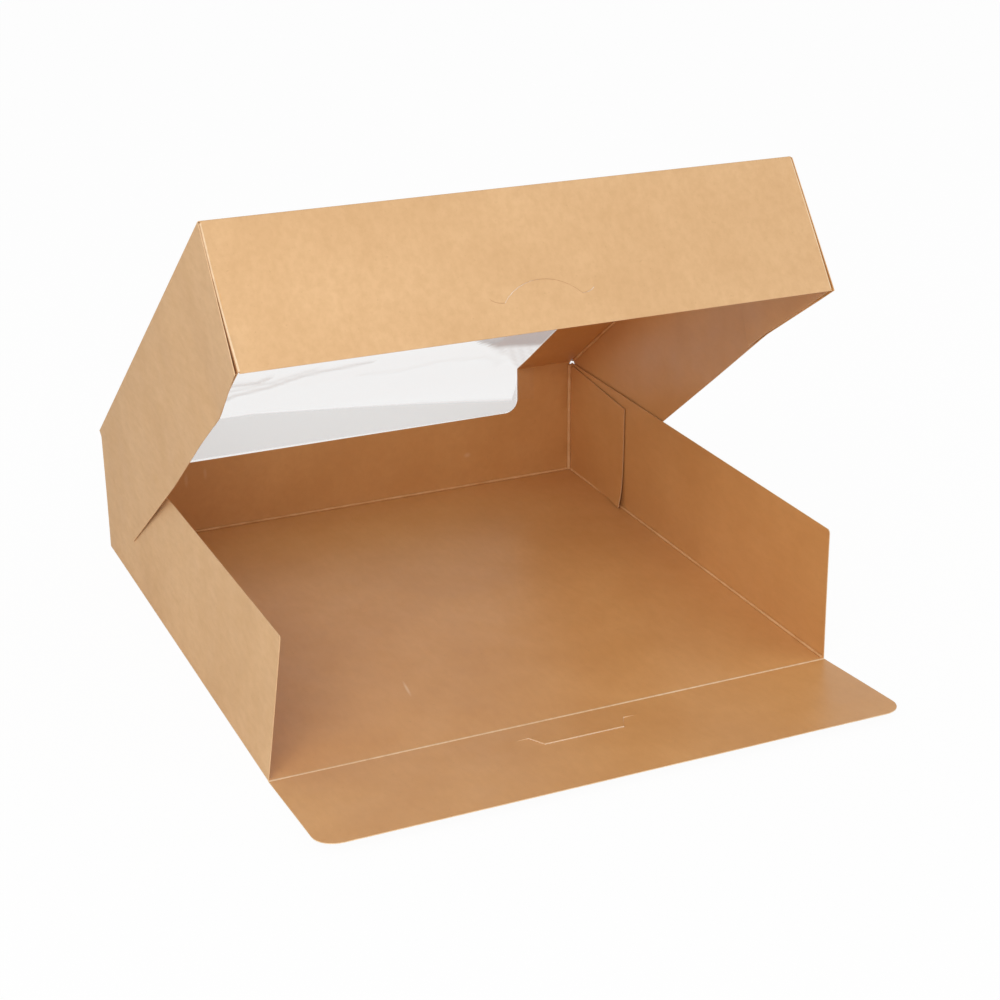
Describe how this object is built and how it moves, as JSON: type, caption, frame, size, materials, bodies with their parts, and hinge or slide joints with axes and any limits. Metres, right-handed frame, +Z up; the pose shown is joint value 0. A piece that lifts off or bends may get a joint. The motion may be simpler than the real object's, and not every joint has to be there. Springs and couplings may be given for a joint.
{
  "type": "window cake box",
  "caption": "Flat square kraft board cake box with a hinged lid, a clear film window over the top and back, and a front locking flap.",
  "frame": {"origin": "centre of the tray's underside, on the surface that the box stands on", "axes": "+X to the right seen from the front, +Y to the back where the lid is hinged, +Z up"},
  "size_m": [0.3222, 0.3976, 0.2676],
  "materials": {
    "tray_board": "smooth kraft board, semi-gloss inside, matte outside",
    "lid_board": "smooth kraft board, matte outside, semi-gloss inside",
    "flap_board": "smooth kraft board, semi-gloss inner face upwards",
    "window_film": "clear thin film"
  },
  "bodies": {
    "tray": {"tray": "tray_board", "back_window_film": "window_film"},
    "lid": {"lid": "lid_board", "lid_window_film": "window_film"},
    "front_flap": {"front_flap": "flap_board"}
  },
  "joints": [
    {"name": "lid_hinge", "type": "hinge", "parent": "tray", "child": "lid", "pos_m": [0, 0.15978, 0.078], "axis": [-1, 0, 0], "range_deg": [-36.07, 143.93]},
    {"name": "front_flap_fold", "type": "hinge", "parent": "tray", "child": "front_flap", "pos_m": [0, -0.16048, 0.00022], "axis": [-1, 0, 0], "range_deg": [-4.35, 85.65]}
  ]
}
